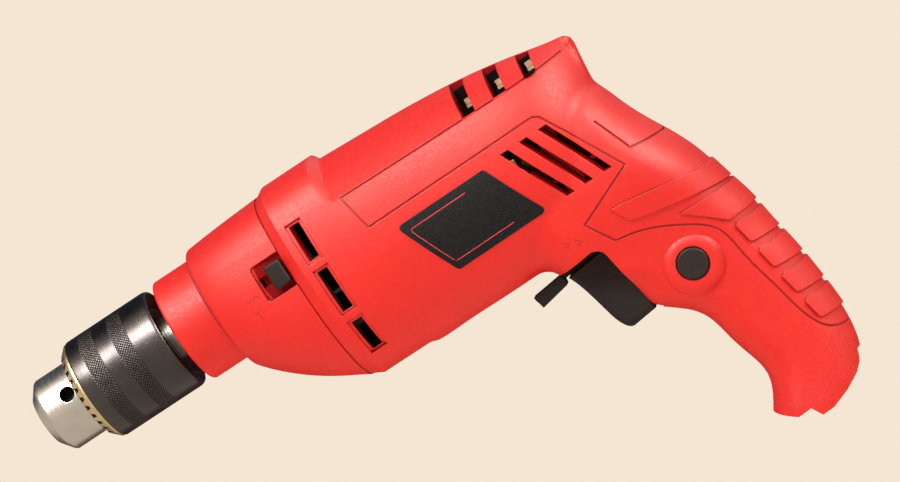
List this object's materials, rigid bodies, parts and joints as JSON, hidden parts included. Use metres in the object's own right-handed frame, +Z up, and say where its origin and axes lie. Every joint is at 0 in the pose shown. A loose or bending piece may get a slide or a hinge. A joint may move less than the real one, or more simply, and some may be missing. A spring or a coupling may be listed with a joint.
{
  "type": "corded percussion drill",
  "caption": "Pistol-grip mains percussion drill with a red moulded housing, keyed chuck, sliding mode knob, trigger, reversing lever, lock button and side vents.",
  "frame": {"origin": "on the spindle axis, in the front face of the clamping collar", "axes": "+X forward along the spindle towards the drill bit, +Y to the left side of the tool, +Z up away from the handle"},
  "size_m": [0.277, 0.0687, 0.1845],
  "materials": {
    "red_plastic": "satin, finely textured moulding",
    "black_plastic": "matte",
    "grey_plastic": "matte",
    "label_black": "finely textured sheet",
    "black_steel": "blackened, polished",
    "zinc_gold": "yellow zinc plated",
    "bright_steel": "turned, satin",
    "dark_steel": "ground",
    "screw_steel": "blackened",
    "cast_alloy": "die cast",
    "lamination": "stacked sheet",
    "copper": "varnished wire",
    "bronze": "sintered",
    "brush_brass": "pressed sheet",
    "carbon": "dull",
    "capacitor_yellow": "moulded"
  },
  "bodies": {
    "housing": {"housing_left": "red_plastic", "housing_right": "red_plastic", "housing_screws": "screw_steel", "label_plate": "label_black", "gear_case": "red_plastic", "gear_plate": "cast_alloy", "plate_screws": "screw_steel", "retaining_ring": "dark_steel", "fixed_ratchet": "dark_steel", "spindle_spring": "dark_steel", "spindle_bush": "bronze", "motor_bearing": "bright_steel", "rear_bearing": "bright_steel", "bearing_cap": "black_plastic", "stator_core": "lamination", "field_coils": "copper", "brush_holders": "brush_brass", "carbon_brushes": "carbon", "capacitor": "capacitor_yellow", "switch_body": "black_plastic"},
    "carriage": {"bearing_outer": "bright_steel"},
    "spindle": {"spindle": "bright_steel", "output_gear": "dark_steel", "turning_ratchet": "dark_steel", "bearing_inner": "bright_steel", "chuck_body": "bright_steel", "chuck_screw": "screw_steel"},
    "sleeve": {"chuck_sleeve": "black_steel", "key_ring": "zinc_gold", "jaw_nut": "dark_steel"},
    "jaw_1": {"jaw_1": "dark_steel"},
    "jaw_2": {"jaw_2": "dark_steel"},
    "jaw_3": {"jaw_3": "dark_steel"},
    "armature": {"armature_shaft": "bright_steel", "armature_core": "lamination", "armature_winding": "copper", "commutator": "copper", "fan": "black_plastic"},
    "trigger": {"trigger": "black_plastic"},
    "lever": {"direction_lever": "black_plastic"},
    "button": {"lock_button": "grey_plastic"},
    "mode": {"mode_knob": "grey_plastic", "mode_slider": "cast_alloy"}
  },
  "joints": [
    {"name": "spindle_thrust", "type": "slide", "parent": "housing", "child": "carriage", "axis": [-1, 0, 0], "range_m": [0, 0.0012], "stiffness_N_per_m": 9000, "springref_m": -0.004, "deforming": ["spindle_spring"]},
    {"name": "spindle_spin", "type": "hinge", "parent": "carriage", "child": "spindle", "pos_m": [0, 0, 0], "axis": [1, 0, 0], "continuous": true},
    {"name": "armature_spin", "type": "hinge", "parent": "housing", "child": "armature", "pos_m": [0, 0, -0.018], "axis": [1, 0, 0], "continuous": true},
    {"name": "sleeve_turn", "type": "hinge", "parent": "spindle", "child": "sleeve", "pos_m": [0, 0, 0], "axis": [1, 0, 0], "range_deg": [0, 2880]},
    {"name": "jaw_1_slide", "type": "slide", "parent": "spindle", "child": "jaw_1", "axis": [0.9659, -0.0494, -0.2541], "range_m": [0, 0.02318]},
    {"name": "jaw_2_slide", "type": "slide", "parent": "spindle", "child": "jaw_2", "axis": [0.9659, 0.2447, 0.0843], "range_m": [0, 0.02318]},
    {"name": "jaw_3_slide", "type": "slide", "parent": "spindle", "child": "jaw_3", "axis": [0.9659, -0.1953, 0.1698], "range_m": [0, 0.02318]},
    {"name": "trigger_pull", "type": "slide", "parent": "housing", "child": "trigger", "axis": [-0.9925, 0, 0.1219], "range_m": [0, 0.0065], "stiffness_N_per_m": 600, "springref_m": -0.008},
    {"name": "lever_swing", "type": "hinge", "parent": "housing", "child": "lever", "pos_m": [-0.16229, 0, -0.05853], "axis": [0.1219, 0, 0.9925], "range_deg": [-10, 10]},
    {"name": "button_push", "type": "slide", "parent": "housing", "child": "button", "axis": [0, -1, 0], "range_m": [0, 0.003], "stiffness_N_per_m": 500, "springref_m": -0.004},
    {"name": "mode_slide", "type": "slide", "parent": "housing", "child": "mode", "axis": [1, 0, 0], "range_m": [0, 0.004]}
  ],
  "couplings": [
    {"joint": "armature_spin", "follows": "spindle_spin", "ratio": -5.8571},
    {"joint": "jaw_1_slide", "follows": "sleeve_turn", "m_per_rad": 0.00046119},
    {"joint": "jaw_2_slide", "follows": "sleeve_turn", "m_per_rad": 0.00046119},
    {"joint": "jaw_3_slide", "follows": "sleeve_turn", "m_per_rad": 0.00046119}
  ]
}
